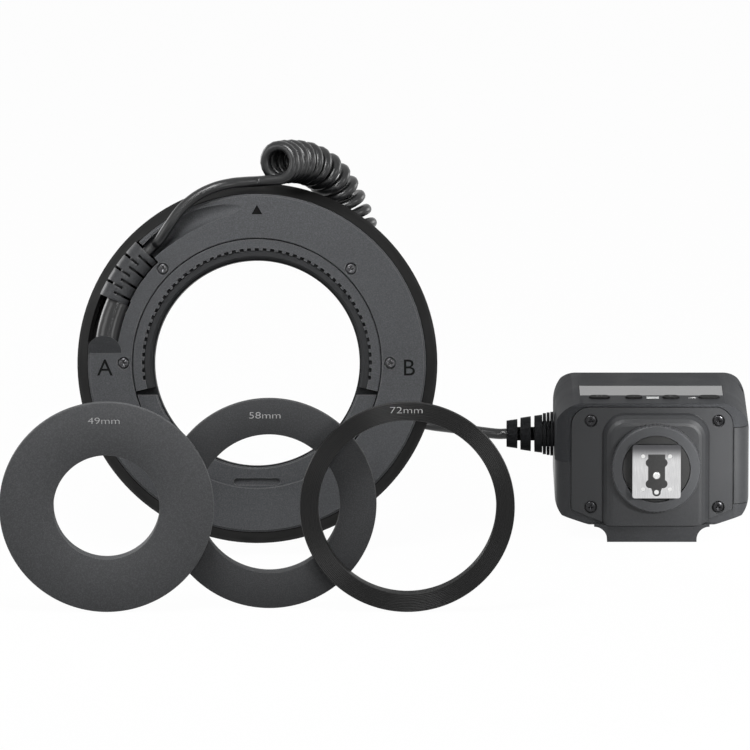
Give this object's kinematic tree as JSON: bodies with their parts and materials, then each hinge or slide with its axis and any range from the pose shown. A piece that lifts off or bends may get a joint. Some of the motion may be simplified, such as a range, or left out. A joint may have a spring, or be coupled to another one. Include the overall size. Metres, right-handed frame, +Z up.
{
  "type": "macro ring flash",
  "caption": "Ring-shaped macro flash head with an adapter track, curly cord, hot-shoe controller and loose lens adapter rings.",
  "frame": {"origin": "Centre of the lens opening, on the plane where an adapter ring seats.", "axes": "+X runs from the head to the controller, +Y away from the viewer, +Z up from the table. The head stands on its lower rim and leans back by 12 degrees."},
  "size_m": [0.2862, 0.1904, 0.1567],
  "materials": {
    "grey_plastic": "fine grain",
    "black_plastic": "satin",
    "controller_plastic": "satin",
    "black_metal": "matte anodised",
    "rubber": "semi-gloss",
    "steel": "bright",
    "nickel": "bright",
    "white_diffuser": "frosted",
    "tube_glass": "clear",
    "ceramic_white": "matte",
    "board_green": "satin",
    "copper": "wound wire",
    "dark_window": "gloss",
    "display_grey": "satin",
    "cell_wrap": "gloss",
    "capacitor_wrap": "satin",
    "light_key": "frosted"
  },
  "bodies": {
    "head_and_controller": {"front_housing": "black_plastic", "inner_barrel": "grey_plastic", "back_cover": "grey_plastic", "cover_screws": "steel", "adapter_rail": "grey_plastic", "jaw_springs": "steel", "front_bezel": "black_plastic", "diffuser_a": "white_diffuser", "diffuser_b": "white_diffuser", "reflector_a": "nickel", "reflector_b": "nickel", "flash_tube_a": "tube_glass", "flash_tube_b": "tube_glass", "tube_electrodes": "steel", "tube_holders": "ceramic_white", "focus_lamps": "tube_glass", "trigger_board": "board_green", "trigger_coil": "copper", "cable_sleeve": "rubber", "head_strain_relief": "rubber", "head_lead": "rubber", "curly_cord": "rubber", "controller_lead": "rubber", "upper_shell": "controller_plastic", "lower_shell": "controller_plastic", "base_plate": "controller_plastic", "base_screws": "steel", "shoe_plate": "nickel", "shoe_insulator": "black_plastic", "shoe_rivets": "steel", "display_window": "dark_window", "display_module": "display_grey", "ready_lamp": "light_key", "switch_board": "board_green", "battery_tray": "black_plastic", "battery_cells": "cell_wrap", "battery_contacts": "nickel", "main_board": "board_green", "flash_capacitor": "capacitor_wrap", "transformer": "copper", "controller_strain_relief": "rubber"},
    "jaw": {"locking_jaw": "grey_plastic"},
    "wheel": {"lock_wheel": "black_plastic"},
    "locking_pin": {"lock_pin": "steel"},
    "contact": {"centre_contact": "nickel"},
    "mode_key": {"button_mode": "rubber"},
    "minus_key": {"button_minus": "rubber"},
    "plus_key": {"button_plus": "rubber"},
    "lamp_key": {"button_lamp": "rubber"},
    "door_pin": {"door_hinge_pin": "steel"},
    "door": {"battery_door": "controller_plastic"},
    "ring_49": {"adapter_ring_49": "black_metal"},
    "ring_58": {"adapter_ring_58": "black_metal"},
    "ring_72": {"adapter_ring_72": "black_metal"}
  },
  "joints": [
    {"name": "jaw_release", "type": "slide", "parent": "head_and_controller", "child": "jaw", "axis": [0, -0.2079, -0.9781], "range_m": [0, 0.0032], "stiffness_N_per_m": 900, "springref_m": -0.001, "deforming": ["jaw_springs"]},
    {"name": "wheel_turn", "type": "hinge", "parent": "head_and_controller", "child": "wheel", "pos_m": [0.1539, 0.0058, -0.04256], "axis": [0, -1, 0], "range_deg": [0, 90]},
    {"name": "pin_lock", "type": "slide", "parent": "head_and_controller", "child": "locking_pin", "axis": [0, -1, 0], "range_m": [0, 0.0016]},
    {"name": "contact_press", "type": "slide", "parent": "head_and_controller", "child": "contact", "axis": [0, 1, 0], "range_m": [0, 0.0008], "stiffness_N_per_m": 600, "springref_m": -0.0004},
    {"name": "mode_press", "type": "slide", "parent": "head_and_controller", "child": "mode_key", "axis": [0, 0, -1], "range_m": [0, 0.0008], "stiffness_N_per_m": 700, "springref_m": -0.0004},
    {"name": "minus_press", "type": "slide", "parent": "head_and_controller", "child": "minus_key", "axis": [0, 0, -1], "range_m": [0, 0.0008], "stiffness_N_per_m": 700, "springref_m": -0.0004},
    {"name": "plus_press", "type": "slide", "parent": "head_and_controller", "child": "plus_key", "axis": [0, 0, -1], "range_m": [0, 0.0008], "stiffness_N_per_m": 700, "springref_m": -0.0004},
    {"name": "lamp_press", "type": "slide", "parent": "head_and_controller", "child": "lamp_key", "axis": [0, 0, -1], "range_m": [0, 0.0008], "stiffness_N_per_m": 700, "springref_m": -0.0004},
    {"name": "door_slide", "type": "slide", "parent": "head_and_controller", "child": "door_pin", "axis": [0, -1, 0], "range_m": [0, 0.005]},
    {"name": "door_swing", "type": "hinge", "parent": "door_pin", "child": "door", "pos_m": [0.1881, 0.0692, -0.04326], "axis": [0, 0, 1], "range_deg": [0, 95]},
    {"name": "ring_49_lift", "type": "slide", "parent": "head_and_controller", "child": "ring_49", "axis": [0, 0, 1], "range_m": [0, 0.09]},
    {"name": "ring_58_lift", "type": "slide", "parent": "head_and_controller", "child": "ring_58", "axis": [0, 0, 1], "range_m": [0, 0.09]},
    {"name": "ring_72_lift", "type": "slide", "parent": "head_and_controller", "child": "ring_72", "axis": [0, 0, 1], "range_m": [0, 0.09]}
  ],
  "couplings": [
    {"joint": "pin_lock", "follows": "wheel_turn", "m_per_rad": 0.0010186}
  ]
}
